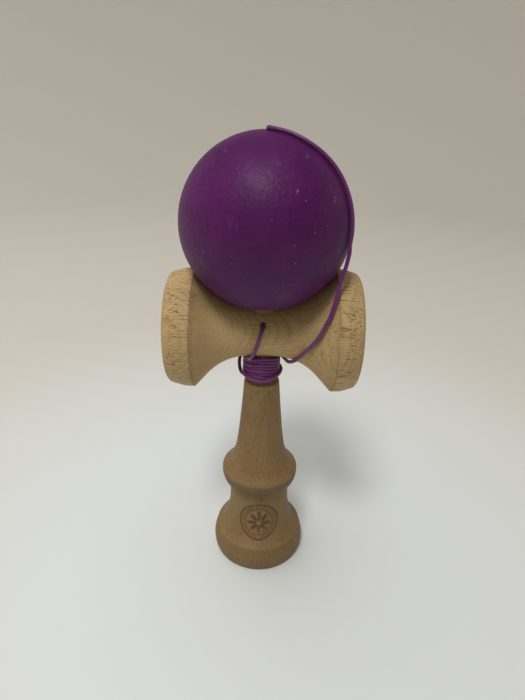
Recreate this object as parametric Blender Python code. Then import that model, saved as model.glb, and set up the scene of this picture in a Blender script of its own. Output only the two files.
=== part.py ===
"""Kendama, the Japanese cup-and-ball toy, standing on its base cup with the ball parked on the spike.

Frame: metres, +Z up. The origin is the middle of the base cup's rim, on the surface it stands on.
+Z runs up the handle and the spike, +X points to the big cup, and -Y is the side of the string hole.
"""

import math

import bpy
from mathutils import Vector
from mathutils.geometry import interpolate_bezier

# Driving dimensions, in metres.
GAP = 0.0003
TURNED_STEPS = 40
SMOOTH_UNDER_DEG = 30.0

# Ken: the handle with its base cup below and its spike above.
KEN_LENGTH = 0.1555
BASE_FOOT_RADIUS = 0.0186
BASE_BAND_RADIUS = 0.0199
BASE_RIDGE_RADIUS = 0.0184
BASE_RIDGE_Z = 0.0109
COLLAR_RADIUS = 0.0126
COLLAR_FOOT_Z = 0.0268
BASE_CUP_MOUTH_RADIUS = 0.0170
BASE_CUP_SPHERE_RADIUS = 0.0265
RING_RADIUS = 0.0160
RING_LIP_RADIUS = 0.0008
RING_LIP_Z = 0.04275
RING_FOOT_Z = 0.0373
NECK_RADIUS = 0.0056
NECK_FOOT_Z = 0.0864
TENON_RADIUS_LOW = 0.0067
TENON_RADIUS_HIGH = 0.0063
SPIKE_TIP_RADIUS = 0.0018

# Sarado: the crosspiece with the small cup at -X and the big cup at +X.
SARADO_Z = 0.1065
SARADO_HALF_LENGTH = 0.0350
WAIST_RADIUS = 0.0103
WAIST_HALF_FLAT = 0.0045
FLARE_ARC_RADIUS = 0.0220
FLARE_SLOPE_DEG = 47.7
SMALL_CUP_EDGE_RADIUS = 0.0220
BIG_CUP_EDGE_RADIUS = 0.0231
CUP_BAND_TAPER = 0.0008
CUP_RIM_ROUNDING = 0.0026
CUP_RIM_FLAT = 0.0006
CUP_SPHERE_RADIUS = 0.0270
STRING_HOLE_RADIUS = 0.0010
STRING_HOLE_Z = SARADO_Z + 0.0051

# Tama: the ball.
BALL_RADIUS = 0.0300
BALL_Z = SARADO_Z + 0.0395
BALL_BORE_RADIUS = 0.0111
BALL_BORE_MOUTH_RADIUS = 0.0118
BALL_BORE_TOP = 0.0165
BALL_BORE_CONE_TOP = 0.0210
BALL_STRING_HOLE_RADIUS = 0.0015
BALL_STRING_HOLE_MOUTH_RADIUS = 0.0032
BEAD_RADIUS = 0.0036
BEAD_HOLE_RADIUS = 0.0011
BEAD_Z = BALL_Z + 0.0174
KNOT_RADIUS = 0.0015

# String.
STRING_RADIUS = 0.0007
STRING_BEVEL_RESOLUTION = 2
STRING_POINT_SPACING = 0.0036
WRAP_OUTER_RADIUS = 0.00705
WRAP_BOTTOM_Z = 0.0870
WRAP_TOP_Z = 0.0958
BALL_CONTACT_RADIUS = BALL_RADIUS + 0.00025 + STRING_RADIUS

# Route of the string from the sarado's hole, down the front of the waist, to the neck's top turn.
START_ROUTE = (
    (0.0000, -0.0094, STRING_HOLE_Z),
    (-0.0001, -0.0105, STRING_HOLE_Z - 0.0002),
    (-0.0006, -0.0114, 0.1096),
    (-0.0014, -0.0114, 0.1065),
    (-0.0024, -0.0107, 0.1027),
    (-0.0035, -0.0089, 0.0993),
    (-0.0046, -0.0066, 0.0969),
)

# Route from the lowest turn at the left, up in a loose loop, behind the neck, out at the right, and
# up in front of the big cup's cone to the side of the ball.
LEAD_ROUTE = (
    (-0.0080, -0.0016, 0.0884),
    (-0.0087, -0.0004, 0.0896),
    (-0.0090, 0.0012, 0.0917),
    (-0.0086, 0.0034, 0.0935),
    (-0.0069, 0.0059, 0.0944),
    (-0.0036, 0.0080, 0.0945),
    (0.0003, 0.0086, 0.0943),
    (0.0043, 0.0074, 0.0939),
    (0.0074, 0.0047, 0.0934),
    (0.0092, 0.0008, 0.0933),
    (0.0103, -0.0038, 0.0946),
    (0.0125, -0.0100, 0.0986),
    (0.0151, -0.0139, 0.1036),
    (0.0175, -0.0162, 0.1076),
    (0.0198, -0.0177, 0.1122),
    (0.0213, -0.0180, 0.1159),
    (0.0229, -0.0177, 0.1201),
    (0.0245, -0.0163, 0.1262),
    (0.0254, -0.0150, 0.1300),
    (0.0268, -0.0140, 0.1350),
    (0.0277, -0.0132, 0.1398),
    (0.0279, -0.0130, 0.1415),
)

# The string's way over the ball, as (angle from the ball's top, angle from +X about +Z).
OVER_BALL_PATH_DEG = (
    (97.0, -25.0),
    (88.0, -24.5),
    (76.0, -24.0),
    (64.0, -24.0),
    (52.0, -24.5),
    (40.0, -27.5),
    (28.0, -34.0),
    (18.0, -42.0),
    (12.0, -56.0),
    (8.5, -72.0),
    (6.0, -84.0),
)
BALL_HOLE_ROUTE = (
    (0.0001, -0.0017, 0.0303),
    (0.0000, -0.0006, 0.0295),
    (0.0000, 0.0000, 0.0280),
    (0.0000, 0.0000, 0.0240),
    (0.0000, 0.0000, 0.0190),
    (0.0000, 0.0000, 0.0141),
)

BEECH_PALE = (0.42, 0.28, 0.15)
BEECH_DARK = (0.21, 0.13, 0.065)
PURPLE_PAINT = (0.105, 0.024, 0.115)
PURPLE_CORD = (0.115, 0.022, 0.150)
BEAD_WOOD = (0.45, 0.32, 0.19)


def clear_scene():
    for old in list(bpy.data.objects):
        bpy.data.objects.remove(old)


def plain_material(name, colour, roughness):
    material = bpy.data.materials.new(name)
    material.use_nodes = True
    shader = material.node_tree.nodes["Principled BSDF"]
    shader.inputs["Base Color"].default_value = (*colour, 1.0)
    shader.inputs["Roughness"].default_value = roughness
    shader.inputs["Metallic"].default_value = 0.0
    return material


def arc(centre, radius, from_deg, to_deg, steps):
    """Points (r, z) on a circle, from one angle to the other, both ends included."""
    points = []
    for i in range(steps + 1):
        angle = math.radians(from_deg + (to_deg - from_deg) * i / steps)
        points.append((centre[0] + radius * math.cos(angle), centre[1] + radius * math.sin(angle)))
    return points


def turned(name, outline, closed, material, steps=TURNED_STEPS):
    """A solid turned about its own Z from an outline of (r, z) that runs down the outer side."""
    points = [(r, 0.0, z) for r, z in outline]
    edges = [(i, i + 1) for i in range(len(points) - 1)]
    if closed:
        edges.append((len(points) - 1, 0))
    mesh = bpy.data.meshes.new(name)
    mesh.from_pydata(points, edges, [])
    mesh.materials.append(material)
    solid = bpy.data.objects.new(name, mesh)
    bpy.context.scene.collection.objects.link(solid)
    screw = solid.modifiers.new("turn", "SCREW")
    screw.steps = steps
    screw.render_steps = steps
    screw.use_merge_vertices = True
    screw.merge_threshold = 0.00001
    return solid


def rod_cutter(name, start, end, start_radius, end_radius, steps=24):
    """A hidden tapered rod between two points, for a Boolean."""
    start, end = Vector(start), Vector(end)
    length = (end - start).length
    rod = turned(
        name,
        [(0.0, length), (end_radius, length), (start_radius, 0.0), (0.0, 0.0)],
        False,
        None,
        steps,
    )
    rod.location = start
    rod.rotation_mode = "QUATERNION"
    rod.rotation_quaternion = (end - start).to_track_quat("Z", "Y")
    rod.hide_render = True
    rod.display_type = "WIRE"
    return rod


def cut(solid, cutter):
    boolean = solid.modifiers.new(cutter.name, "BOOLEAN")
    boolean.operation = "DIFFERENCE"
    boolean.solver = "EXACT"
    boolean.object = cutter


def finished(solid):
    """Applies the modifiers, and shades the turned faces smooth up to their sharp edges."""
    bpy.context.view_layer.update()
    graph = bpy.context.evaluated_depsgraph_get()
    mesh = bpy.data.meshes.new_from_object(solid.evaluated_get(graph))
    solid.modifiers.clear()
    solid.data = mesh
    mesh.shade_smooth()
    mesh.set_sharp_from_angle(angle=math.radians(SMOOTH_UNDER_DEG))
    return solid


def smooth_curve(route, spacing):
    """Points at an even spacing along one smooth curve through the route's own points."""
    knots = [Vector(point) for point in route]
    fine = []
    for i in range(len(knots) - 1):
        before = knots[max(i - 1, 0)]
        after = knots[min(i + 2, len(knots) - 1)]
        here, there = knots[i], knots[i + 1]
        reach = (there - here).length / 3
        out_way = (there - before).normalized() * reach
        in_way = (after - here).normalized() * reach
        fine += interpolate_bezier(here, here + out_way, there - in_way, there, 17)[:-1]
    fine.append(knots[-1])
    total = sum((b - a).length for a, b in zip(fine, fine[1:]))
    count = max(2, round(total / spacing))
    points, walked, target = [fine[0]], 0.0, total / count
    for a, b in zip(fine, fine[1:]):
        step = (b - a).length
        while walked + step >= target and len(points) < count:
            points.append(a.lerp(b, (target - walked) / step))
            target += total / count
        walked += step
    points.append(fine[-1])
    return points


def string_tube(name, route, material):
    curve = bpy.data.curves.new(name, "CURVE")
    curve.dimensions = "3D"
    curve.bevel_depth = STRING_RADIUS
    curve.bevel_resolution = STRING_BEVEL_RESOLUTION
    curve.use_fill_caps = True
    curve.materials.append(material)
    points = smooth_curve(route, STRING_POINT_SPACING)
    spline = curve.splines.new("POLY")
    spline.points.add(len(points) - 1)
    for spot, point in zip(spline.points, points):
        spot.co = (*point, 1.0)
    tube = bpy.data.objects.new(name, curve)
    bpy.context.scene.collection.objects.link(tube)
    return tube


def string_hole(name):
    """The cross hole that the string runs through, from the front of the waist into the tenon."""
    start = (0.0, -0.0200, STRING_HOLE_Z)
    end = (0.0, 0.0010, STRING_HOLE_Z)
    return rod_cutter(name, start, end, STRING_HOLE_RADIUS, STRING_HOLE_RADIUS, 16)


def make_ken(material):
    """Handle, ring, base cup, neck, tenon and spike, turned from one billet."""
    cup_depth = BASE_CUP_SPHERE_RADIUS - math.sqrt(
        BASE_CUP_SPHERE_RADIUS**2 - BASE_CUP_MOUTH_RADIUS**2
    )
    cup_centre_z = cup_depth - BASE_CUP_SPHERE_RADIUS
    cup_angle = math.degrees(math.acos(BASE_CUP_MOUTH_RADIUS / BASE_CUP_SPHERE_RADIUS))
    tip_centre = (0.0, KEN_LENGTH - SPIKE_TIP_RADIUS)
    spike = [
        (0.0029, KEN_LENGTH - 0.0070),
        (0.0041, KEN_LENGTH - 0.0170),
        (0.0051, KEN_LENGTH - 0.0270),
        (0.0059, KEN_LENGTH - 0.0350),
        (TENON_RADIUS_HIGH, SARADO_Z + WAIST_RADIUS - 0.0004),
    ]
    neck = [
        (TENON_RADIUS_LOW, SARADO_Z - 0.0079),
        (NECK_RADIUS + 0.0003, SARADO_Z - 0.0095),
        (NECK_RADIUS, SARADO_Z - 0.0105),
        (NECK_RADIUS, NECK_FOOT_Z),
    ]
    grip = [
        (0.0062, NECK_FOOT_Z - 0.0009),
        (0.0068, NECK_FOOT_Z - 0.0016),
        (0.0071, NECK_FOOT_Z - 0.0034),
        (0.0074, 0.0790),
        (0.0079, 0.0730),
        (0.0085, 0.0665),
        (0.0091, 0.0605),
        (0.0097, 0.0560),
        (0.0102, 0.0530),
        (0.0108, 0.0508),
        (0.0117, 0.0485),
        (0.01295, 0.0462),
        (0.0142, 0.0445),
    ]
    lip_centre = (RING_RADIUS - RING_LIP_RADIUS, RING_LIP_Z)
    ring = arc(lip_centre, RING_LIP_RADIUS, 90.0, -12.0, 4)
    ring += [
        (RING_RADIUS - 0.0008, RING_FOOT_Z + 0.0006),
        (RING_RADIUS - 0.0014, RING_FOOT_Z),
        (COLLAR_RADIUS + 0.0003, RING_FOOT_Z - 0.0005),
    ]
    collar = [
        (COLLAR_RADIUS, RING_FOOT_Z - 0.0013),
        (COLLAR_RADIUS, COLLAR_FOOT_Z),
    ]
    base = [
        (0.0132, 0.0220),
        (0.0140, 0.0184),
        (0.0150, 0.0155),
        (0.0164, 0.0131),
        (BASE_RIDGE_RADIUS - 0.0006, BASE_RIDGE_Z + 0.0007),
        (BASE_RIDGE_RADIUS, BASE_RIDGE_Z + 0.0003),
        (BASE_RIDGE_RADIUS + 0.0005, BASE_RIDGE_Z - 0.0010),
        (BASE_BAND_RADIUS - 0.0002, BASE_RIDGE_Z - 0.0036),
        (BASE_BAND_RADIUS, 0.0052),
        (BASE_BAND_RADIUS - 0.0003, 0.0022),
        (BASE_FOOT_RADIUS + 0.0006, 0.0007),
        (BASE_FOOT_RADIUS, 0.0),
    ]
    outline = arc(tip_centre, SPIKE_TIP_RADIUS, 90.0, 15.0, 4)
    outline[0] = (0.0, KEN_LENGTH)
    outline += spike + neck + grip + ring + collar + base
    cup = arc((0.0, cup_centre_z), BASE_CUP_SPHERE_RADIUS, cup_angle, 90.0, 5)
    cup[-1] = (0.0, cup_depth)
    ken = turned("ken", outline + cup, False, material)
    cut(ken, string_hole("ken_string_hole"))
    pocket = rod_cutter(
        "ken_knot_pocket",
        (0.0, -0.0006, STRING_HOLE_Z),
        (0.0, 0.0100, STRING_HOLE_Z),
        KNOT_RADIUS + 0.0006,
        KNOT_RADIUS + 0.0006,
        20,
    )
    cut(ken, pocket)
    return finished(ken)


def flare(sign, edge_radius):
    """Outline points (r, x) from the waist's flat part out to a cup's inner edge."""
    slope = math.radians(FLARE_SLOPE_DEG)
    centre_r = WAIST_RADIUS + FLARE_ARC_RADIUS
    points = []
    for i in range(7):
        angle = slope * i / 6
        r = centre_r - FLARE_ARC_RADIUS * math.cos(angle)
        points.append((r, sign * (WAIST_HALF_FLAT + FLARE_ARC_RADIUS * math.sin(angle))))
    last_r, last_x = points[-1]
    edge_x = abs(last_x) + (edge_radius - last_r) / math.tan(slope)
    points.append((edge_radius, sign * edge_x))
    return points


def cup_end(sign, edge_radius):
    """Outline points (r, x) from a cup's inner edge over its band and rim, and down into the cup."""
    end_x = SARADO_HALF_LENGTH
    edge_x = abs(flare(sign, edge_radius)[-1][1])
    outer_radius = edge_radius - CUP_BAND_TAPER
    mouth_radius = outer_radius - CUP_RIM_ROUNDING - CUP_RIM_FLAT
    band = [
        (edge_radius + 0.0004, edge_x + 0.0010),
        (edge_radius + 0.0004, edge_x + 0.0035),
    ]
    rounding = arc(
        (outer_radius - CUP_RIM_ROUNDING, end_x - CUP_RIM_ROUNDING), CUP_RIM_ROUNDING, 8.0, 90.0, 5
    )
    depth = CUP_SPHERE_RADIUS - math.sqrt(CUP_SPHERE_RADIUS**2 - mouth_radius**2)
    centre_x = end_x - depth + CUP_SPHERE_RADIUS
    start_deg = -math.degrees(math.acos(mouth_radius / CUP_SPHERE_RADIUS))
    hollow = arc((0.0, centre_x), CUP_SPHERE_RADIUS, start_deg, -90.0, 5)
    hollow[-1] = (0.0, end_x - depth)
    return [(r, sign * x) for r, x in band + rounding + hollow]


def make_sarado(material):
    """Crosspiece turned about its own long axis, bored for the spike and drilled for the string."""
    right = flare(1.0, BIG_CUP_EDGE_RADIUS) + cup_end(1.0, BIG_CUP_EDGE_RADIUS)
    left = flare(-1.0, SMALL_CUP_EDGE_RADIUS) + cup_end(-1.0, SMALL_CUP_EDGE_RADIUS)
    sarado = turned("sarado", right[::-1] + left, False, material)
    sarado.location = (0.0, 0.0, SARADO_Z)
    sarado.rotation_euler = (0.0, math.pi / 2, 0.0)
    bore = rod_cutter(
        "sarado_bore",
        (0.0, 0.0, SARADO_Z - 0.0200),
        (0.0, 0.0, SARADO_Z + 0.0200),
        TENON_RADIUS_LOW + GAP + 0.0002,
        TENON_RADIUS_HIGH + GAP - 0.0001,
        32,
    )
    cut(sarado, bore)
    front_hole = rod_cutter(
        "sarado_string_hole",
        (0.0, -0.0300, STRING_HOLE_Z),
        (0.0, -0.0030, STRING_HOLE_Z),
        STRING_HOLE_RADIUS,
        STRING_HOLE_RADIUS,
        16,
    )
    cut(sarado, front_hole)
    return finished(sarado)


def make_tama(material):
    """Ball bored from below for the spike, with a small countersunk string hole at the top."""
    mouth_top = math.sqrt(BALL_RADIUS**2 - BALL_STRING_HOLE_MOUTH_RADIUS**2)
    top_deg = math.degrees(math.asin(mouth_top / BALL_RADIUS))
    rim_radius = BALL_BORE_MOUTH_RADIUS
    bottom_deg = -math.degrees(math.acos(rim_radius / BALL_RADIUS))
    rim_z = -math.sqrt(BALL_RADIUS**2 - rim_radius**2)
    outline = arc((0.0, 0.0), BALL_RADIUS, top_deg, bottom_deg, 22)
    outline += [
        (BALL_BORE_RADIUS, rim_z + 0.0010),
        (BALL_BORE_RADIUS, BALL_BORE_TOP),
        (BALL_STRING_HOLE_RADIUS, BALL_BORE_CONE_TOP),
        (BALL_STRING_HOLE_RADIUS, BALL_RADIUS - 0.0030),
    ]
    tama = turned("tama", outline, True, material)
    tama.location = (0.0, 0.0, BALL_Z)
    return finished(tama)


def make_bead(material):
    """Bead under the ball's top hole, which the string's end knot pulls up against."""
    edge_deg = math.degrees(math.acos(BEAD_HOLE_RADIUS / BEAD_RADIUS))
    outline = arc((0.0, 0.0), BEAD_RADIUS, edge_deg, -edge_deg, 8)
    bead = turned("tama_bead", outline, True, material, 16)
    bead.location = (0.0, 0.0, BEAD_Z)
    return finished(bead)


def make_knot(name, place, material):
    """An overhand knot drawn tight, as the lump that it fills."""
    outline = arc((0.0, 0.0), KNOT_RADIUS, 90.0, -90.0, 6)
    outline[0] = (0.0, KNOT_RADIUS)
    outline[-1] = (0.0, -KNOT_RADIUS)
    knot = turned(name, outline, False, material, 12)
    knot.location = place
    return finished(knot)


def make_wrap(material):
    """Outer shape of the turns wound on the neck: one closed ring."""
    inner = NECK_RADIUS + GAP
    outline = [
        (inner, WRAP_TOP_Z),
        (WRAP_OUTER_RADIUS - 0.0006, WRAP_TOP_Z),
        (WRAP_OUTER_RADIUS, WRAP_TOP_Z - 0.0006),
        (WRAP_OUTER_RADIUS, WRAP_BOTTOM_Z + 0.0006),
        (WRAP_OUTER_RADIUS - 0.0006, WRAP_BOTTOM_Z),
        (inner, WRAP_BOTTOM_Z),
    ]
    return finished(turned("string_wrap", outline, True, material, 28))


def over_ball_route():
    """Up the ball's side, over to the top hole, and down through it and the bead."""
    route = []
    for from_top_deg, azimuth_deg in OVER_BALL_PATH_DEG:
        angle = math.radians(from_top_deg)
        azimuth = math.radians(azimuth_deg)
        reach = BALL_CONTACT_RADIUS * math.sin(angle)
        height = BALL_Z + BALL_CONTACT_RADIUS * math.cos(angle)
        route.append((reach * math.cos(azimuth), reach * math.sin(azimuth), height))
    route += [(x, y, BALL_Z + z) for x, y, z in BALL_HOLE_ROUTE]
    return route


def make_kendama():
    handle_wood = plain_material("handle_wood", BEECH_DARK, 0.62)
    cup_wood = plain_material("cup_wood", BEECH_PALE, 0.60)
    ball_paint = plain_material("ball_paint", PURPLE_PAINT, 0.42)
    cord = plain_material("string_cord", PURPLE_CORD, 0.55)
    bead_wood = plain_material("bead_wood", BEAD_WOOD, 0.50)
    make_ken(handle_wood)
    make_sarado(cup_wood)
    make_tama(ball_paint)
    make_bead(bead_wood)
    make_knot("string_knot_tama", (0.0, 0.0, BEAD_Z - BEAD_RADIUS - GAP - KNOT_RADIUS), cord)
    make_knot("string_knot_ken", (0.0, 0.0035, STRING_HOLE_Z), cord)
    string_tube("string_start", START_ROUTE, cord)
    make_wrap(cord)
    string_tube("string_lead", LEAD_ROUTE, cord)
    string_tube("string_over_ball", over_ball_route(), cord)


clear_scene()
make_kendama()
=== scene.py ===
"""Kendama: the fine meshes, materials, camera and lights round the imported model.

Metres, +Z up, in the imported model's frame: the handle stands on the origin, the big cup is at +X and
the string hole looks towards -Y. Outlines of turned pieces are (radius, height) in millimetres.
"""

import math
import random

import bpy
import numpy as np
from mathutils import Matrix, Vector, noise


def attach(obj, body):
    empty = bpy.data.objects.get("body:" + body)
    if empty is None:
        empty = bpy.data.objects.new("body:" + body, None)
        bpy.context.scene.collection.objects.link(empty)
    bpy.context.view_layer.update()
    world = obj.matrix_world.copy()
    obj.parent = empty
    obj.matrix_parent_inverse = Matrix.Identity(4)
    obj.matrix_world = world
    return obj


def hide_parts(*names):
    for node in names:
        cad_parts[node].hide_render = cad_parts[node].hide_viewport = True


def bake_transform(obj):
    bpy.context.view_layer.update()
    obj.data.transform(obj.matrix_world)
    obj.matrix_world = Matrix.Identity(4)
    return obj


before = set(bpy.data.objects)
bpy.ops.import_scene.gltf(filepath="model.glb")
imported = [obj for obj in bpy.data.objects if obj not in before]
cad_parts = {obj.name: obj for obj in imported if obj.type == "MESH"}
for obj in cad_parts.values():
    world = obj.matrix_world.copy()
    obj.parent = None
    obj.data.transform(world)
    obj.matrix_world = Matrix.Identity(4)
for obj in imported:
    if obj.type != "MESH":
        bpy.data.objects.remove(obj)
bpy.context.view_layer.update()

MM = 0.001

# Axes of the grain.
ALONG_X, ALONG_Z = 0, 2

# Places and sizes of the turned pieces, in millimetres. Radii of the cups are at their inner edges.
SARADO_Z = 106.5
SARADO_HALF_LENGTH = 35.0
BIG_CUP_RADIUS = 23.1
SMALL_CUP_RADIUS = 22.3
WAIST_RADIUS = 10.3
FLARE_SLOPE_DEG = 47.7
FLARE_ARC_RADIUS = 22.0
CUP_SPHERE_RADIUS = 27.0
CUP_RIM_ROUNDING = 2.6
BASE_CUP_SPHERE_RADIUS = 26.5
BASE_CUP_MOUTH_RADIUS = 17.0
STRING_HOLE_Z = 111.6
STRING_HOLE_RADIUS = 1.0
BALL_Z = 146.0
BALL_RADIUS = 30.0
BALL_HOLE_RADIUS = 1.5
BALL_HOLE_MOUTH_RADIUS = 2.6
BALL_BORE_RADIUS = 11.1
BALL_BORE_MOUTH_RADIUS = 11.8
BALL_BORE_TOP = 16.5
BEAD_Z = 163.4
BEAD_RADIUS = 3.6
BEAD_HOLE_RADIUS = 1.1

# The string, in metres.
STRING_DIAMETER = 0.0014
STRING_POINT_SPACING = 0.00028
STRING_BRAID = 0.05
STRANDS = 4
KNOT_IN_HANDLE = (0.0, 0.0035, 0.1116)
KNOT_IN_BALL = (0.0, 0.0, 0.1580)
KNOT_SCALE = 0.00036
KNOT_CORD_DIAMETER = 0.0009

# Where painted shade darkens the wood, and where the roundel is burnt, in metres.
RING_SHADE_HEIGHTS = (0.0372, 0.0430)
RING_SHADE = 0.40
BASE_SHADE_TOP = 0.0114
BASE_SHADE = 0.14
CUP_EDGE_SHADE = 0.22
CUP_EDGE_SHADE_REACH = 0.0006
ROUNDEL_X, ROUNDEL_Z = 0.0002, 0.0214
ROUNDEL_SQUEEZE_ABOVE, ROUNDEL_SQUEEZE_BELOW = 0.84, 1.09
ROUNDEL_RINGS = ((0.0058, 0.00022), (0.0079, 0.00034))
ROUNDEL_TICKS_RADIUS = 0.0068
ROUNDEL_PETALS = 8
ROUNDEL_TICKS = 36

# Patterns in the wood, as features per metre along and across the grain.
MOTTLE, WARP, FIBRE = (45.0, 110.0), (9.0, 45.0), (120.0, 2600.0)
FLECKS, STREAKS = (420.0, 3600.0), (150.0, 2700.0)
RING_RADIANS_PER_METRE = 4300.0
RING_WARP_RADIANS = 30.0
RING_TILT = (0.35, 0.2, 0.5)

# Colours, as linear red, green and blue.
# Colour of the painted shade that darkens the wood.
PAINTED_SHADE = (0.060, 0.036, 0.016)
BURN = (0.075, 0.024, 0.012)
PAINT_DARK, PAINT_LIGHT = (0.070, 0.0055, 0.078), (0.098, 0.009, 0.104)
PAINT_RUBBED, PAINT_CHIPPED = (0.20, 0.09, 0.20), (0.33, 0.20, 0.31)
PAINT_SHEEN = (0.84, 0.88, 1.0, 1.0)
# The cord's colour in the painted shade between its strands, and on its strands.
CORD_GROOVE_SHADE, CORD_LIGHT = (0.090, 0.008, 0.100), (0.215, 0.030, 0.215)
FLOOR_NEAR, FLOOR_FAR, FLOOR_SHADE_IN_FRONT = (0.76, 0.80, 0.80), (0.69, 0.66, 0.60), (0.42, 0.41, 0.39)
SKY = (0.90, 0.89, 0.86, 1.0)
SKY_STRENGTH = 0.10

# The floor's round dish, in millimetres.
FLOOR_FLAT_RADIUS = 900.0
FLOOR_RISE_RADIUS = 800.0
FLOOR_WALL_HEIGHT = 2200.0

# Camera, held by hand and looking down at the toy.
CAMERA_PLACE = (0.0, -0.1748, 0.18134)
CAMERA_PITCH_DEG = 25.62
CAMERA_ROLL_DEG = 1.43
CAMERA_LENS_MM = 25.714
SENSOR_MM = 36.0

# Route of the string from the sarado's hole, down the front of the waist, to the neck's top turn.
START_ROUTE = (
    (0.0000, 0.0012, 0.1116),
    (0.0000, -0.0050, 0.1116),
    (0.0000, -0.0085, 0.1116),
    (-0.0001, -0.0103, 0.1112),
    (-0.0006, -0.0114, 0.1096),
    (-0.0014, -0.0114, 0.1065),
    (-0.0024, -0.0107, 0.1027),
    (-0.0035, -0.0089, 0.0993),
    (-0.0046, -0.0066, 0.0969),
)

# Route from the lowest turn at the left, up in a loose loop, behind the neck, out at the right, and
# up in front of the big cup's cone to the side of the ball.
LEAD_ROUTE = (
    (-0.0080, -0.0016, 0.0884),
    (-0.0087, -0.0004, 0.0896),
    (-0.0090, 0.0012, 0.0917),
    (-0.0086, 0.0034, 0.0935),
    (-0.0069, 0.0059, 0.0944),
    (-0.0036, 0.0080, 0.0945),
    (0.0003, 0.0086, 0.0943),
    (0.0043, 0.0074, 0.0939),
    (0.0074, 0.0047, 0.0934),
    (0.0092, 0.0008, 0.0933),
    (0.0103, -0.0038, 0.0946),
    (0.0125, -0.0100, 0.0986),
    (0.0151, -0.0139, 0.1036),
    (0.0175, -0.0162, 0.1076),
    (0.0198, -0.0177, 0.1122),
    (0.0213, -0.0180, 0.1159),
    (0.0229, -0.0177, 0.1201),
    (0.0245, -0.0163, 0.1262),
    (0.0254, -0.0150, 0.1300),
    (0.0268, -0.0140, 0.1350),
    (0.0277, -0.0132, 0.1398),
)

# The string's way over the ball, as (angle from the ball's top, angle from +X about +Z).
OVER_BALL_PATH_DEG = (
    (97.0, -25.0),
    (88.0, -24.5),
    (76.0, -24.0),
    (64.0, -24.0),
    (52.0, -24.5),
    (40.0, -27.5),
    (28.0, -34.0),
    (18.0, -42.0),
    (12.0, -56.0),
    (8.5, -72.0),
    (6.0, -84.0),
)
BALL_HOLE_ROUTE = (
    (0.0001, -0.0017, 0.0303),
    (0.0000, -0.0006, 0.0295),
    (0.0000, 0.0000, 0.0280),
    (0.0000, 0.0000, 0.0240),
    (0.0000, 0.0000, 0.0190),
    (0.0000, 0.0000, 0.0141),
)

# The turns round the neck.
WRAP_START_DEG = 235.1
WRAP_TURNS = 8.12
WRAP_RADIUS = 0.00635
WRAP_UNDER_WAIST = 0.0111
WRAP_BOTTOM_Z = 0.0879
WRAP_POINTS_PER_TURN = 24


# ---------------------------------------------------------------- camera


def make_camera():
    pitch, roll = math.radians(CAMERA_PITCH_DEG), math.radians(CAMERA_ROLL_DEG)
    forward = Vector((0.0, math.cos(pitch), -math.sin(pitch)))
    level = Vector((1.0, 0.0, 0.0))
    upright = level.cross(forward)
    right = level * math.cos(roll) + upright * math.sin(roll)
    up = upright * math.cos(roll) - level * math.sin(roll)
    data = bpy.data.cameras.new("camera")
    data.sensor_width = SENSOR_MM
    data.lens = CAMERA_LENS_MM
    data.clip_start = 0.01
    camera = bpy.data.objects.new("camera", data)
    axes = Matrix((right, up, -forward)).transposed().to_4x4()
    camera.matrix_world = Matrix.Translation(CAMERA_PLACE) @ axes
    bpy.context.scene.collection.objects.link(camera)
    bpy.context.scene.camera = camera


# ---------------------------------------------------------------- lines and meshes


def smooth_line(route, spacing):
    """Points at an even spacing along one smooth curve through the route's own points."""
    knots = np.array(route, float)
    share = np.linspace(0.0, 1.0, 17)[:-1, None]
    fine = []
    for i in range(len(knots) - 1):
        here, there = knots[i], knots[i + 1]
        reach = np.linalg.norm(there - here) / 3
        leaving = there - knots[max(i - 1, 0)]
        arriving = knots[min(i + 2, len(knots) - 1)] - here
        a = here + leaving / np.linalg.norm(leaving) * reach
        b = there - arriving / np.linalg.norm(arriving) * reach
        rest = 1.0 - share
        fine.append(rest**3 * here + 3 * rest**2 * share * a + 3 * rest * share**2 * b + share**3 * there)
    line = np.vstack(fine + [knots[-1:]])
    along = np.concatenate([[0.0], np.cumsum(np.linalg.norm(np.diff(line, axis=0), axis=1))])
    at = np.linspace(0.0, along[-1], max(3, round(along[-1] / spacing) + 1))
    return np.stack([np.interp(at, along, column) for column in line.T], axis=1)


def arc(centre, radius, from_deg, to_deg, steps):
    angles = np.radians(np.linspace(from_deg, to_deg, steps + 1))
    return [(centre[0] + radius * math.cos(a), centre[1] + radius * math.sin(a)) for a in angles]


def outline(*runs, rounding=3, turn_deg=5.0, longest=1.1):
    """One (radius, height) line from runs that are smooth in themselves and meet at worn edges.

    rounding is how often each point is averaged with its neighbours, which are 0.2 mm apart.
    """
    line = np.vstack([smooth_line(run, 0.2) for run in runs])
    apart = np.linalg.norm(np.diff(line, axis=0), axis=1) > 1e-6
    line = line[np.concatenate([[True], apart])]
    for _ in range(rounding):
        line[1:-1] = 0.25 * line[:-2] + 0.5 * line[1:-1] + 0.25 * line[2:]
    kept, turned = [line[0]], 0.0
    for before, here, after in zip(line, line[1:], line[2:]):
        a, b = here - before, after - here
        turned += abs(math.atan2(a[0] * b[1] - a[1] * b[0], a @ b))
        if turned > math.radians(turn_deg) or np.linalg.norm(here - kept[-1]) > longest:
            kept.append(here)
            turned = 0.0
    return np.array(kept + [line[-1]])


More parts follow.
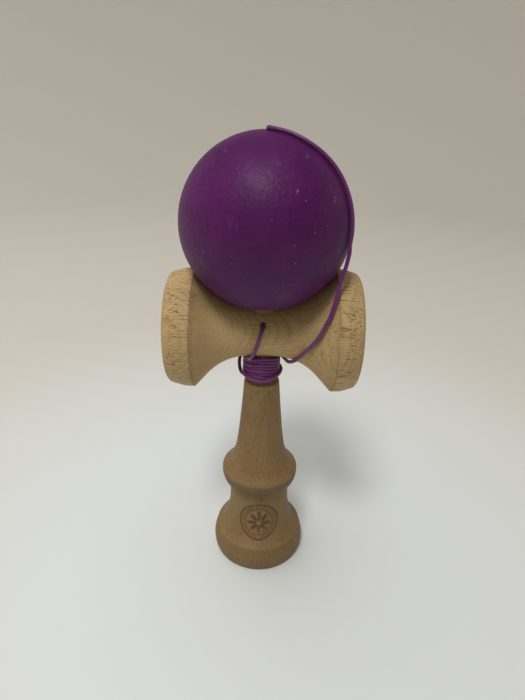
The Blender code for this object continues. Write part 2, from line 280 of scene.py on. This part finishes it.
def revolve(line, segments, closed=False):
    """Points in metres and faces of the outline turned about Z, facing outwards as it runs downwards."""
    angles = np.linspace(0.0, 2 * math.pi, segments, endpoint=False)
    rings = line if closed else line[1:-1]
    r, z = rings[:, :1] * MM, rings[:, 1:] * MM
    points = np.stack([r * np.cos(angles), r * np.sin(angles), z + 0 * angles], axis=2).reshape(-1, 3)
    faces = []
    count = len(rings)
    for i in range(count if closed else count - 1):
        upper, lower = i * segments, (i + 1) % count * segments
        for j in range(segments):
            k = (j + 1) % segments
            faces.append((upper + j, lower + j, lower + k, upper + k))
    if not closed:
        top, bottom = len(points), len(points) + 1
        ends = [(0.0, 0.0, line[0][1] * MM), (0.0, 0.0, line[-1][1] * MM)]
        points = np.vstack([points, ends])
        last = (count - 1) * segments
        for j in range(segments):
            k = (j + 1) % segments
            faces.append((top, j, k))
            faces.append((bottom, last + k, last + j))
    return points, faces


def new_piece(name, points, faces, *materials):
    mesh = bpy.data.meshes.new(name)
    mesh.from_pydata([tuple(p) for p in points], [], faces)
    for material in materials:
        mesh.materials.append(material)
    piece = bpy.data.objects.new(name, mesh)
    bpy.context.scene.collection.objects.link(piece)
    return piece


def cut(piece, *cutters):
    """Takes the cutters' shapes out of the piece for good."""
    for cutter in cutters:
        boolean = piece.modifiers.new("cut", "BOOLEAN")
        boolean.object = cutter
    graph = bpy.context.evaluated_depsgraph_get()
    mesh = bpy.data.meshes.new_from_object(piece.evaluated_get(graph))
    piece.modifiers.clear()
    piece.data = mesh
    for cutter in cutters:
        bpy.data.objects.remove(cutter)


def shade(piece, sharp_deg=35.0):
    piece.data.shade_smooth()
    piece.data.set_sharp_from_angle(angle=math.radians(sharp_deg))
    return piece


def rod_along_y(name, run, segments=40):
    """A cutter turned about the string hole's line: run is (radius, y) in millimetres."""
    points, faces = revolve(np.array(run, float), segments)
    turned = np.stack([points[:, 0], points[:, 2], -points[:, 1]], axis=1)
    turned[:, 2] += STRING_HOLE_Z * MM
    return new_piece(name, turned, faces)


def dented(points, dents, seed, near, depth_share=1.0):
    """Small knocks: each sinks the points round a random one of those that near() accepts."""
    rng = random.Random(seed)
    choices = [i for i in range(len(points)) if near(points[i])]
    middle = np.array(points).mean(axis=0)
    for _ in range(dents):
        place = points[rng.choice(choices)].copy()
        size = rng.uniform(0.5, 1.3) * MM
        depth = rng.uniform(0.04, 0.13) * MM * depth_share
        far = np.linalg.norm(points - place, axis=1) / size
        inward = (middle - place) / np.linalg.norm(middle - place)
        points += np.where(far < 1, (1 - far**2) ** 2, 0.0)[:, None] * inward * depth
    return points


def tube(name, line, diameter, material, braid=0.0, sides=16):
    """A closed tube along the line, with UVs round and along it, and the braid's strands standing proud."""
    steps = np.gradient(line, axis=0)
    tangents = steps / np.linalg.norm(steps, axis=1)[:, None]
    side = np.cross(tangents[0], (0.31, 0.17, 0.93))
    frames = []
    for tangent in tangents:
        side = side - tangent * (side @ tangent)
        side /= np.linalg.norm(side)
        frames.append((side, np.cross(tangent, side)))
    walked = np.concatenate([[0.0], np.cumsum(np.linalg.norm(np.diff(line, axis=0), axis=1))])
    angles = np.linspace(0.0, 2 * math.pi, sides, endpoint=False)
    lead = STRANDS * diameter
    points, strands = [], []
    for centre, (a, b), along in zip(line, frames, walked):
        one = np.cos(STRANDS * (angles + 2 * math.pi * along / lead))
        other = np.cos(STRANDS * (angles - 2 * math.pi * along / lead))
        strand = np.maximum(one, other)
        reach = diameter / 2 * (1 - braid + braid * strand)
        points.append(centre + np.outer(reach * np.cos(angles), a) + np.outer(reach * np.sin(angles), b))
        strands.append(strand)
    points = np.vstack(points)
    faces = []
    for i in range(len(line) - 1):
        for j in range(sides):
            k = (j + 1) % sides
            faces.append((i * sides + j, i * sides + k, (i + 1) * sides + k, (i + 1) * sides + j))
    faces.append(tuple(reversed(range(sides))))
    faces.append(tuple(range(len(points) - sides, len(points))))
    piece = new_piece(name, points, faces, material)
    uv = piece.data.uv_layers.new(name="string_uv")
    places = np.array([(c % sides / sides, walked[c // sides] / diameter) for c in range(len(points))])
    corners = np.zeros(len(piece.data.loops), np.int32)
    piece.data.loops.foreach_get("vertex_index", corners)
    uv.data.foreach_set("uv", places[corners].astype(np.float32).ravel())
    height = piece.data.attributes.new("strand", "FLOAT", "POINT")
    height.data.foreach_set("value", np.concatenate(strands).astype(np.float32))
    return shade(piece, 60.0)


# ---------------------------------------------------------------- materials


def new_material(name, roughness, specular=0.5):
    material = bpy.data.materials.new(name)
    material.use_nodes = True
    shader = material.node_tree.nodes["Principled BSDF"]
    shader.inputs["Roughness"].default_value = roughness
    shader.inputs["Specular IOR Level"].default_value = specular
    return material, material.node_tree, shader


def add(tree, kind, inputs=None, **settings):
    """A node of that kind. inputs maps a socket to a value or to another node's output."""
    made = tree.nodes.new(kind)
    for key, value in settings.items():
        setattr(made, key, value)
    for key, value in (inputs or {}).items():
        if isinstance(value, bpy.types.NodeSocket):
            tree.links.new(value, made.inputs[key])
        else:
            made.inputs[key].default_value = value
    return made


def maths(tree, operation, a, b=0.0):
    return add(tree, "ShaderNodeMath", {0: a, 1: b}, operation=operation).outputs[0]


def step_up(tree, value, low, high):
    """0 below low, 1 above high, and smooth between; high may be the lower of the two."""
    inputs = {"Value": value, "From Min": low, "From Max": high}
    return add(tree, "ShaderNodeMapRange", inputs, interpolation_type="SMOOTHSTEP").outputs["Result"]


def mixed(tree, share, a, b):
    """Two colours mixed; each is a colour or another node's output."""
    made = add(tree, "ShaderNodeMix", {"Factor": share}, data_type="RGBA")
    for socket, colour in ((made.inputs[6], a), (made.inputs[7], b)):
        if isinstance(colour, bpy.types.NodeSocket):
            tree.links.new(colour, socket)
        else:
            socket.default_value = (*colour, 1.0)
    return made.outputs[2]


def noise_of(tree, place, scale, detail=2.0, rough=0.5, distortion=0.0):
    """Noise whose features are 1 / scale metres across; scale has one number for each axis."""
    stretched = add(tree, "ShaderNodeMapping", {"Vector": place, "Scale": scale}).outputs[0]
    inputs = {
        "Vector": stretched,
        "Scale": 1.0,
        "Detail": detail,
        "Roughness": rough,
        "Distortion": distortion,
    }
    return add(tree, "ShaderNodeTexNoise", inputs).outputs["Fac"]


def axes_of(tree, vector):
    """The vector's X, Y and Z sockets."""
    return add(tree, "ShaderNodeSeparateXYZ", {0: vector}).outputs


def bump(tree, shader, height, distance, strength=1.0):
    inputs = {"Height": height, "Distance": distance, "Strength": strength}
    made = add(tree, "ShaderNodeBump", inputs)
    tree.links.new(made.outputs["Normal"], shader.inputs["Normal"])


def along_grain(grain, long, across):
    """A noise scale for that grain axis, 0 for X and 2 for Z."""
    scale = [across] * 3
    scale[grain] = long
    return tuple(scale)


def wood(
    name, grain, pale, deep, pore_colour, pore_share, roughness, ring_share=0.1,
    mark=None, cracked=None, painted_shade=None,
):
    """Bare beech: growth rings, fibres, and short dark pores that lie along the grain.

    mark, cracked and the shade mask say where the wood is burnt, shows long thin cracks or is darkened
    by painted shade, from 0 to 1.
    """
    material, tree, shader = new_material(name, roughness, 0.25)
    place = add(tree, "ShaderNodeTexCoord").outputs["Object"]
    mottle = noise_of(tree, place, along_grain(grain, *MOTTLE), 3.0)
    warp = noise_of(tree, place, along_grain(grain, *WARP), 2.0)
    tilted = add(tree, "ShaderNodeMapping", {"Vector": place, "Rotation": RING_TILT}).outputs[0]
    across = maths(tree, "MULTIPLY", axes_of(tree, tilted)[1], RING_RADIANS_PER_METRE)
    phase = maths(tree, "ADD", across, maths(tree, "MULTIPLY", warp, RING_WARP_RADIANS))
    rings = maths(tree, "MULTIPLY", maths(tree, "ADD", maths(tree, "SINE", phase), 1.0), 0.5)
    rings = maths(tree, "POWER", rings, 3.0)
    fibre = noise_of(tree, place, along_grain(grain, *FIBRE), 3.0, 0.65)
    fleck = noise_of(tree, place, along_grain(grain, *FLECKS), 1.0, 0.4)
    pores = step_up(tree, fleck, 0.70 - pore_share, 0.76 - pore_share)
    tone = maths(tree, "MULTIPLY", rings, ring_share)
    tone = maths(tree, "ADD", tone, maths(tree, "MULTIPLY", mottle, 0.75))
    tone = maths(tree, "ADD", tone, maths(tree, "MULTIPLY", maths(tree, "SUBTRACT", fibre, 0.5), 1.3))
    colour = mixed(tree, step_up(tree, tone, 0.15, 0.95), pale, deep)
    colour = mixed(tree, maths(tree, "MULTIPLY", pores, 0.45), colour, pore_colour)
    relief = maths(tree, "MULTIPLY", fibre, 0.6)
    relief = maths(tree, "SUBTRACT", relief, maths(tree, "MULTIPLY", pores, 0.5))
    if cracked:
        streaks = noise_of(tree, place, along_grain(grain, *STREAKS), 0.0)
        cracks = maths(tree, "MULTIPLY", step_up(tree, streaks, 0.665, 0.695), cracked(tree, place))
        colour = mixed(tree, maths(tree, "MULTIPLY", cracks, 0.7), colour, pore_colour)
        relief = maths(tree, "SUBTRACT", relief, cracks)
    # Painted shade: the wood darkens towards the shade colour where the mask says.
    if painted_shade:
        colour = mixed(tree, painted_shade(tree, place), colour, PAINTED_SHADE)
    if mark:
        burnt = mark(tree, place)
        colour = mixed(tree, maths(tree, "MULTIPLY", burnt, 0.72), colour, BURN)
        relief = maths(tree, "SUBTRACT", relief, burnt)
    tree.links.new(colour, shader.inputs["Base Color"])
    bump(tree, shader, relief, 0.00012, 0.6)
    return material


def painted_shade_on_handle(tree, place):
    """Painted shade on the handle: strong on the ring's side below its lip, faint on the base's band."""
    height = axes_of(tree, place)[2]
    low, high = RING_SHADE_HEIGHTS
    ring = maths(
        tree, "MULTIPLY", step_up(tree, height, low, low + 0.0007), step_up(tree, height, high, high - 0.0010)
    )
    base = step_up(tree, height, BASE_SHADE_TOP, BASE_SHADE_TOP - 0.0010)
    base = maths(tree, "MULTIPLY", base, BASE_SHADE)
    return maths(tree, "ADD", maths(tree, "MULTIPLY", ring, RING_SHADE), base)


def cup_bands(tree, place):
    """Where the crosspiece's cracks show: the bands round its cups, and faintly its middle."""
    from_middle = maths(tree, "ABSOLUTE", axes_of(tree, place)[0])
    return maths(tree, "MAXIMUM", step_up(tree, from_middle, 0.0225, 0.0245), 0.25)


def painted_shade_on_cup_edges(tree, place):
    """Painted shade on the crosspiece: a thin dark line on the inner edge of each cup's band."""
    along = axes_of(tree, place)[0]
    lines = []
    for side, radius in ((1.0, BIG_CUP_RADIUS), (-1.0, SMALL_CUP_RADIUS)):
        edge = side * cup_half(radius)[0][-1][1] * MM
        distance = maths(tree, "ABSOLUTE", maths(tree, "SUBTRACT", along, edge))
        lines.append(step_up(tree, distance, CUP_EDGE_SHADE_REACH, 0.0001))
    return maths(tree, "MULTIPLY", maths(tree, "MAXIMUM", *lines), CUP_EDGE_SHADE)


def burnt_roundel(tree, place):
    """How burnt the wood is: a plain flower inside rings and ticks, on the front of the base's flare.

    It is squeezed so that it looks round from the front, over the collar above and the flare below.
    """
    x, y, z = axes_of(tree, place)
    over = maths(tree, "SUBTRACT", x, ROUNDEL_X)
    above = maths(tree, "SUBTRACT", z, ROUNDEL_Z)
    up = maths(
        tree, "MINIMUM", maths(tree, "MULTIPLY", above, ROUNDEL_SQUEEZE_ABOVE),
        maths(tree, "MULTIPLY", above, ROUNDEL_SQUEEZE_BELOW),
    )
    squares = maths(tree, "ADD", maths(tree, "MULTIPLY", over, over), maths(tree, "MULTIPLY", up, up))
    reach = maths(tree, "SQRT", squares)
    turn = maths(tree, "ARCTAN2", up, over)
    petal = maths(tree, "ABSOLUTE", maths(tree, "COSINE", maths(tree, "MULTIPLY", turn, ROUNDEL_PETALS / 2)))
    flower_edge = maths(tree, "ADD", maths(tree, "MULTIPLY", petal, 0.0036), 0.0014)
    flower = step_up(tree, maths(tree, "SUBTRACT", flower_edge, reach), -0.0001, 0.0002)
    eye = step_up(tree, reach, 0.0010, 0.0013)
    shape = maths(tree, "MULTIPLY", flower, eye)
    ticks = maths(tree, "ABSOLUTE", maths(tree, "COSINE", maths(tree, "MULTIPLY", turn, ROUNDEL_TICKS / 2)))
    between = maths(tree, "ABSOLUTE", maths(tree, "SUBTRACT", reach, ROUNDEL_TICKS_RADIUS))
    ticks = maths(tree, "MULTIPLY", step_up(tree, ticks, 0.80, 0.90), step_up(tree, between, 0.0006, 0.0004))
    shape = maths(tree, "MAXIMUM", shape, ticks)
    for radius, width in ROUNDEL_RINGS:
        away = maths(tree, "ABSOLUTE", maths(tree, "SUBTRACT", reach, radius))
        shape = maths(tree, "MAXIMUM", shape, step_up(tree, away, width + 0.0001, width - 0.0001))
    patchy = step_up(tree, noise_of(tree, place, (900.0, 900.0, 500.0)), 0.15, 0.5)
    front = maths(tree, "LESS_THAN", y, 0.0)
    return maths(tree, "MULTIPLY", maths(tree, "MULTIPLY", shape, front), patchy)


def ball_paint():
    """Satin, slightly rubbery purple paint with faint wrinkles and small pale chips."""
    material, tree, shader = new_material("ball_paint", 0.48, 0.27)
    shader.inputs["Specular Tint"].default_value = PAINT_SHEEN
    place = add(tree, "ShaderNodeTexCoord").outputs["Object"]
    cloud = noise_of(tree, place, (60.0,) * 3, 4.0, 0.6)
    colour = mixed(tree, step_up(tree, cloud, 0.3, 0.75), PAINT_DARK, PAINT_LIGHT)
    rubbed = step_up(tree, noise_of(tree, place, (260.0, 260.0, 90.0), 3.0, 0.7), 0.58, 0.78)
    colour = mixed(tree, maths(tree, "MULTIPLY", rubbed, 0.22), colour, PAINT_RUBBED)
    small_chips, big_chips = (330.0, 0.30, 0.20, 0.50), (210.0, 0.60, 0.22, 0.45)
    for scale, least, size_share, strength in (small_chips, big_chips):
        cells = add(tree, "ShaderNodeTexVoronoi", {"Vector": place, "Scale": scale})
        lot = add(tree, "ShaderNodeSeparateColor", {0: cells.outputs["Color"]}).outputs
        size = maths(tree, "MULTIPLY", maths(tree, "SUBTRACT", lot[0], least), size_share)
        chips = step_up(tree, maths(tree, "SUBTRACT", size, cells.outputs["Distance"]), -0.012, 0.012)
        colour = mixed(tree, maths(tree, "MULTIPLY", chips, strength), colour, PAINT_CHIPPED)
    tree.links.new(colour, shader.inputs["Base Color"])
    peel = noise_of(tree, place, (720.0,) * 3, 2.0)
    wrinkle = noise_of(tree, place, (330.0, 330.0, 210.0), 2.0, 0.5, 1.2)
    where = step_up(tree, noise_of(tree, place, (55.0,) * 3, 1.0), 0.45, 0.65)
    wrinkles = maths(tree, "MULTIPLY", maths(tree, "MULTIPLY", wrinkle, where), 1.6)
    relief = maths(tree, "ADD", maths(tree, "MULTIPLY", peel, 0.8), wrinkles)
    relief = maths(tree, "SUBTRACT", relief, maths(tree, "MULTIPLY", chips, 0.4))
    bump(tree, shader, relief, 0.0003, 0.8)
    return material


def braided_cord():
    """Purple nylon cord, with painted shade between its strands."""
    material, tree, shader = new_material("string_cord", 0.42, 0.5)
    shader.inputs["Sheen Weight"].default_value = 0.15
    strand = add(tree, "ShaderNodeAttribute", attribute_name="strand").outputs["Fac"]
    uv = add(tree, "ShaderNodeUVMap", uv_map="string_uv").outputs[0]
    fuzz = noise_of(tree, uv, (14.0, 3.0, 1.0), 2.0)
    # Painted shade: the grooves between the strands take the shaded colour, broken up by random fuzz.
    light = step_up(tree, maths(tree, "ADD", strand, maths(tree, "MULTIPLY", fuzz, 0.6)), 0.2, 1.4)
    colour = mixed(tree, light, CORD_GROOVE_SHADE, CORD_LIGHT)
    tree.links.new(colour, shader.inputs["Base Color"])
    bump(tree, shader, fuzz, 0.00008, 0.5)
    return material


# ---------------------------------------------------------------- string


def wrap_route():
    """The turns round the neck: the top ones follow the waist's underside, the last crosses the rest."""
    route = []
    for i in range(1, round(WRAP_TURNS * WRAP_POINTS_PER_TURN)):
        turn = i / WRAP_POINTS_PER_TURN
        angle = math.radians(WRAP_START_DEG - 360.0 * turn)
        side, back = math.cos(angle), math.sin(angle)
        top = SARADO_Z * MM - math.sqrt(WRAP_UNDER_WAIST**2 - (WRAP_RADIUS * back) ** 2)
        bottom = WRAP_BOTTOM_Z - 0.0008 * side + 0.0003 * back
        share = min(1.0, max(0.0, (turn - 0.4) / (WRAP_TURNS - 0.7)))
        height = top + (bottom - top) * share
        bunched = 0.5 - 0.5 * side
        stagger = 0.0006 * bunched * (0.5 - 0.5 * math.cos(math.pi * turn))
        arriving = 0.0017 * math.exp(-turn / 0.04)
        crossing = min(1.0, max(0.0, (turn - WRAP_TURNS + 1.0) / 0.3))
        last_quarter = max(0.0, (turn - WRAP_TURNS + 0.25) / 0.25)
        leaving = 0.0011 * crossing
        leaving += 0.0007 * last_quarter
        radius = WRAP_RADIUS + stagger + arriving + leaving
        height += 0.0006 * last_quarter + 0.0024 * crossing * max(0.0, side)
        route.append((radius * side, radius * back, height))
    return route


def over_ball_route():
    """Up the ball's side, over to the top hole, and down through it and the bead."""
    contact = BALL_RADIUS * MM + 0.00005 + STRING_DIAMETER / 2
    route = []
    for from_top_deg, azimuth_deg in OVER_BALL_PATH_DEG:
        angle, azimuth = math.radians(from_top_deg), math.radians(azimuth_deg)
        reach, height = contact * math.sin(angle), BALL_Z * MM + contact * math.cos(angle)
        route.append((reach * math.cos(azimuth), reach * math.sin(azimuth), height))
    return route + [(x, y, BALL_Z * MM + z) for x, y, z in BALL_HOLE_ROUTE]


def make_knot(name, place, body, node, material):
    """The string's end, tied in an overhand knot and drawn tight."""
    line = []
    half = 36
    for i in range(2 * half + 1):
        t = 2 * math.pi * (i - half) / (2 * half + 3)
        x, y = math.sin(t) + 2 * math.sin(2 * t), math.cos(t) - 2 * math.cos(2 * t)
        line.append(Vector(place) + Vector((x, y, -1.1 * math.sin(3 * t))) * KNOT_SCALE)
    knot = tube(name, np.array(line), KNOT_CORD_DIAMETER, material, 0.04, 10)
    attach(knot, body)
    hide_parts(node)
    return knot


def make_string(material):
    """The cord in two stretches that meet at the lowest turn: on the neck, and from there to the ball."""
    knot_low = make_knot("knot_in_handle", KNOT_IN_HANDLE, "ken", "string_knot_ken", material)
    low_line = smooth_line(list(START_ROUTE) + wrap_route() + [LEAD_ROUTE[0]], STRING_POINT_SPACING)
    low = tube("string_on_neck", low_line, STRING_DIAMETER, material, STRING_BRAID)
    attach(low, "ken")
    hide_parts("string_start", "string_wrap")
    knot_top = make_knot("knot_in_ball", KNOT_IN_BALL, "string_end", "string_knot_tama", material)
    lead_line = smooth_line(list(LEAD_ROUTE) + over_ball_route(), STRING_POINT_SPACING)
    lead = tube("string_to_ball", lead_line, STRING_DIAMETER, material, STRING_BRAID)
    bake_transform(lead)
    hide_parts("string_lead", "string_over_ball")


# ---------------------------------------------------------------- turned pieces


def make_ken(material):
    """Handle, ring, base cup, neck, tenon and spike."""
    tip = arc((0.0, 153.7), 1.8, 90.0, 15.0, 6)
    spike = [(2.9, 148.5), (4.1, 138.5), (5.1, 128.5), (5.9, 120.5), (6.3, 116.4)]
    neck = [(5.9, 97.0), (5.6, 96.0), (5.6, 86.4)]
    grip = [
        (6.2, 85.5), (6.8, 84.8), (7.1, 83.0), (7.4, 79.0), (7.9, 73.0), (8.5, 66.5), (9.1, 60.5),
        (9.7, 56.0), (10.2, 53.0), (10.8, 50.8), (11.7, 48.5), (12.95, 46.2), (14.0, 44.9),
        (14.85, 44.0),
    ]
    ring = arc((14.6, 42.7), 1.3, 74.0, 0.0, 8)
    ring += [(15.95, 41.2), (15.75, 39.6), (15.35, 38.4), (15.1, 37.8)]
    under = [(15.1, 37.8), (14.6, 37.3), (13.7, 37.1), (12.9, 36.8)]
    collar = [(12.9, 36.8), (12.65, 36.0), (12.6, 30.0), (12.65, 26.8)]
    flare = [
        (12.65, 26.8), (12.8, 24.6), (13.2, 22.0), (14.0, 18.4), (15.0, 15.5), (16.4, 13.1), (17.9, 11.6),
    ]
    edge = arc((18.0, 10.9), 0.65, 90.0, 0.0, 6)
    lip = [(18.65, 10.9), (19.05, 9.4), (19.65, 7.3), (19.9, 5.2), (19.6, 2.2), (19.2, 0.7), (18.6, 0.0)]
    foot = [(18.6, 0.0), (BASE_CUP_MOUTH_RADIUS, 0.0)]
    sphere, mouth = BASE_CUP_SPHERE_RADIUS, BASE_CUP_MOUTH_RADIUS
    depth = sphere - math.sqrt(sphere**2 - mouth**2)
    cup = arc((0.0, depth - sphere), sphere, math.degrees(math.acos(mouth / sphere)), 90.0, 14)
    cup[-1] = (0.0, depth)
    tip[0] = (0.0, 155.5)
    line = outline(
        tip + spike, [(6.3, 116.4), (6.7, 98.6)], neck, [(5.6, 86.4)] + grip, ring, under, collar,
        flare, edge, lip, foot, cup, rounding=2,
    )
    points, faces = revolve(line, 176)

    def on_base_ridge(p):
        return 0.0095 < p[2] < 0.0115 and math.hypot(p[0], p[1]) > 0.018

    def on_ring(p):
        return 0.040 < p[2] < 0.0435 and math.hypot(p[0], p[1]) > 0.0155

    points = dented(points, 7, 3, on_base_ridge)
    points = dented(points, 5, 4, on_ring)
    ken = new_piece("handle", points, faces, material)
    narrow = STRING_HOLE_RADIUS
    hole = [(0.0, 6.5), (2.1, 6.5), (2.1, -0.6), (narrow, -0.6), (narrow, -20.0), (0.0, -20.0)]
    cut(ken, rod_along_y("handle_hole", hole))
    shade(ken)
    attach(ken, "ken")
    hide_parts("ken")


def cup_half(edge_radius):
    """One half of the crosspiece as (radius, distance from the middle) runs, waist first."""
    flat = 4.5
    centre_r = WAIST_RADIUS + FLARE_ARC_RADIUS
    flare = [(WAIST_RADIUS, 0.0), (WAIST_RADIUS, flat * 0.5)]
    for degrees in np.linspace(0.0, FLARE_SLOPE_DEG, 16):
        a = math.radians(degrees)
        flare.append((centre_r - FLARE_ARC_RADIUS * math.cos(a), flat + FLARE_ARC_RADIUS * math.sin(a)))
    last_r, last_x = flare[-1]
    edge_x = last_x + (edge_radius - last_r) / math.tan(math.radians(FLARE_SLOPE_DEG))
    flare.append((edge_radius, edge_x))
    rim_radius = edge_radius - 1.1 - CUP_RIM_ROUNDING
    mouth = rim_radius - 0.6
    band = [(edge_radius, edge_x), (edge_radius, edge_x + 2.0), (edge_radius - 0.1, edge_x + 3.5)]
    band += arc((rim_radius, SARADO_HALF_LENGTH - CUP_RIM_ROUNDING), CUP_RIM_ROUNDING, 8.0, 90.0, 8)
    sphere = CUP_SPHERE_RADIUS
    bottom_x = SARADO_HALF_LENGTH - sphere + math.sqrt(sphere**2 - mouth**2)
    hollow = arc((0.0, bottom_x + sphere), sphere, -math.degrees(math.acos(mouth / sphere)), -90.0, 16)
    hollow[-1] = (0.0, bottom_x)
    rim = [(rim_radius, SARADO_HALF_LENGTH), (mouth, SARADO_HALF_LENGTH)]
    return [flare, band, rim, hollow]


def make_sarado(material):
    """Crosspiece turned about its own long axis, bored for the handle and drilled for the string."""
    big = [run[::-1] for run in cup_half(BIG_CUP_RADIUS)[::-1]]
    small = [[(r, -x) for r, x in run] for run in cup_half(SMALL_CUP_RADIUS)]
    points, faces = revolve(outline(*big, *small, rounding=1), 192)
    points = np.stack([points[:, 2], points[:, 1], -points[:, 0]], axis=1)

    def on_band(p):
        return abs(p[0]) > 0.0235 and math.hypot(p[1], p[2]) > 0.0205

    points = dented(points, 14, 11, on_band, 0.7)
    points[:, 2] += SARADO_Z * MM
    sarado = new_piece("crosspiece", points, faces, material)
    bore_line = np.array([(0.0, 130.0), (6.15, 130.0), (7.2, 83.0), (0.0, 83.0)])
    bore = new_piece("bore", *revolve(bore_line, 96))
    narrow = STRING_HOLE_RADIUS
    hole = [(0.0, -3.0), (narrow, -3.0), (narrow, -8.7), (1.35, -9.3), (1.35, -20.0), (0.0, -20.0)]
    cut(sarado, bore, rod_along_y("crosspiece_hole", hole))
    shade(sarado, 18.0)
    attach(sarado, "ken")
    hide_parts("sarado")


def make_ball(paint, bare):
    """Ball bored from below for the spike, bare wood inside, with a small countersunk top hole."""
    mouth, bore_mouth, bore = BALL_HOLE_MOUTH_RADIUS, BALL_BORE_MOUTH_RADIUS, BALL_BORE_RADIUS
    top_z = math.sqrt(BALL_RADIUS**2 - mouth**2)
    rim_z = -math.sqrt(BALL_RADIUS**2 - bore_mouth**2)
    skin = arc(
        (0.0, 0.0), BALL_RADIUS, math.degrees(math.asin(top_z / BALL_RADIUS)),
        -math.degrees(math.acos(bore_mouth / BALL_RADIUS)), 90,
    )
    inside = [(bore_mouth, rim_z), (bore, rim_z + 0.9), (bore, BALL_BORE_TOP)]
    cone = [(bore, BALL_BORE_TOP), (BALL_HOLE_RADIUS, 21.0)]
    hole = [(BALL_HOLE_RADIUS, 21.0), (BALL_HOLE_RADIUS, 28.0), (mouth, top_z)]
    line = outline(skin, inside, cone, hole, rounding=2, longest=0.9)
    line[:, 1] += BALL_Z
    points, faces = revolve(line, 200, closed=True)
    for i, point in enumerate(points):
        direction = Vector(point - (0.0, 0.0, BALL_Z * MM))
        points[i] += np.array(direction.normalized() * noise.noise(direction * 90.0)) * 0.00003
    ball = new_piece("ball", points, faces, paint, bare)
    ball_middle = Vector((0.0, 0.0, BALL_Z * MM))
    for face in ball.data.polygons:
        face.material_index = int((face.center - ball_middle).length < (BALL_RADIUS - 0.35) * MM)
    shade(ball)
    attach(ball, "tama")
    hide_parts("tama")


def make_bead(material):
    """Round bead inside the ball, bored through for the string."""
    edge = math.degrees(math.acos(BEAD_HOLE_RADIUS / BEAD_RADIUS))
    line = outline(arc((0.0, BEAD_Z), BEAD_RADIUS, edge, -edge, 24), rounding=0, longest=0.4)
    bead = new_piece("bead", *revolve(line, 48, closed=True), material)
    shade(bead, 50.0)
    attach(bead, "string_end")
    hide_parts("tama_bead")
    return bead


# ---------------------------------------------------------------- floor and lights


def make_stage():
    """A pale floor that rises far away into a plain round backdrop, with painted shade far in front."""
    material, tree, shader = new_material("stage", 0.6, 0.3)
    place = add(tree, "ShaderNodeTexCoord").outputs["Object"]
    x, y, _ = axes_of(tree, place)
    squares = maths(tree, "ADD", maths(tree, "MULTIPLY", x, x), maths(tree, "MULTIPLY", y, y))
    share = step_up(tree, maths(tree, "SQRT", squares), 0.07, 0.30)
    colour = mixed(tree, share, FLOOR_NEAR, FLOOR_FAR)
    # Painted shade: the floor darkens far in front of the toy.
    colour = mixed(tree, step_up(tree, y, -0.22, -0.70), colour, FLOOR_SHADE_IN_FRONT)
    tree.links.new(colour, shader.inputs["Base Color"])
    wall, top = FLOOR_FLAT_RADIUS + FLOOR_RISE_RADIUS, FLOOR_WALL_HEIGHT
    flat = [(0.0, 0.0), (400.0, 0.0), (FLOOR_FLAT_RADIUS, 0.0)]
    rise = arc((FLOOR_FLAT_RADIUS, FLOOR_RISE_RADIUS), FLOOR_RISE_RADIUS, -85.0, 0.0, 24)
    rise += [(wall, 1400.0), (wall, top), (0.0, top)]
    points, faces = revolve(np.array(flat + rise)[::-1], 128)
    lid = len(points) - 2
    stage = new_piece("floor", points, [face for face in faces if lid not in face], material)
    stage.data.shade_smooth()


def area_light(name, place, aim, size, watts, colour, glossy=True):
    data = bpy.data.lights.new(name, "AREA")
    data.shape = "DISK"
    data.size = size
    data.energy = watts
    data.color = colour
    light = bpy.data.objects.new(name, data)
    light.location = place
    light.rotation_mode = "QUATERNION"
    light.rotation_quaternion = (Vector(aim) - Vector(place)).to_track_quat("-Z", "Y")
    light.visible_camera = False
    light.visible_glossy = glossy
    bpy.context.scene.collection.objects.link(light)


def make_lights():
    middle = (0.0, 0.0, 0.12)
    area_light("ceiling", (-0.20, -0.62, 1.30), middle, 0.35, 8.0, (1.0, 0.97, 0.94))
    area_light("room", (-0.45, 0.10, 1.45), middle, 2.2, 14.5, (1.0, 0.985, 0.965), glossy=False)
    world = bpy.data.worlds.new("world")
    world.use_nodes = True
    sky = world.node_tree.nodes["Background"]
    sky.inputs["Color"].default_value = SKY
    sky.inputs["Strength"].default_value = SKY_STRENGTH
    bpy.context.scene.world = world
    bpy.context.scene.view_settings.view_transform = "Standard"


# ---------------------------------------------------------------- the whole toy

make_camera()
bead_wood = wood(
    "bead_wood", ALONG_Z, pale=(0.62, 0.46, 0.28), deep=(0.45, 0.31, 0.17),
    pore_colour=(0.2, 0.11, 0.05), pore_share=0.02, roughness=0.5,
)
bead = make_bead(bead_wood)
make_string(braided_cord())
handle_wood = wood(
    "handle_wood", ALONG_Z, pale=(0.275, 0.176, 0.078), deep=(0.168, 0.103, 0.042),
    pore_colour=(0.10, 0.055, 0.024), pore_share=0.06, roughness=0.55,
    mark=burnt_roundel, painted_shade=painted_shade_on_handle,
)
make_ken(handle_wood)
cup_wood = wood(
    "cup_wood", ALONG_X, pale=(0.57, 0.40, 0.195), deep=(0.35, 0.238, 0.106),
    pore_colour=(0.11, 0.062, 0.026), pore_share=0.01, roughness=0.58, ring_share=0.2,
    cracked=cup_bands, painted_shade=painted_shade_on_cup_edges,
)
make_sarado(cup_wood)
paint = ball_paint()
bore_wood = wood(
    "bore_wood", ALONG_Z, pale=(0.52, 0.38, 0.22), deep=(0.38, 0.26, 0.14),
    pore_colour=(0.15, 0.09, 0.04), pore_share=0.03, roughness=0.7,
)
make_ball(paint, bore_wood)
make_stage()
make_lights()
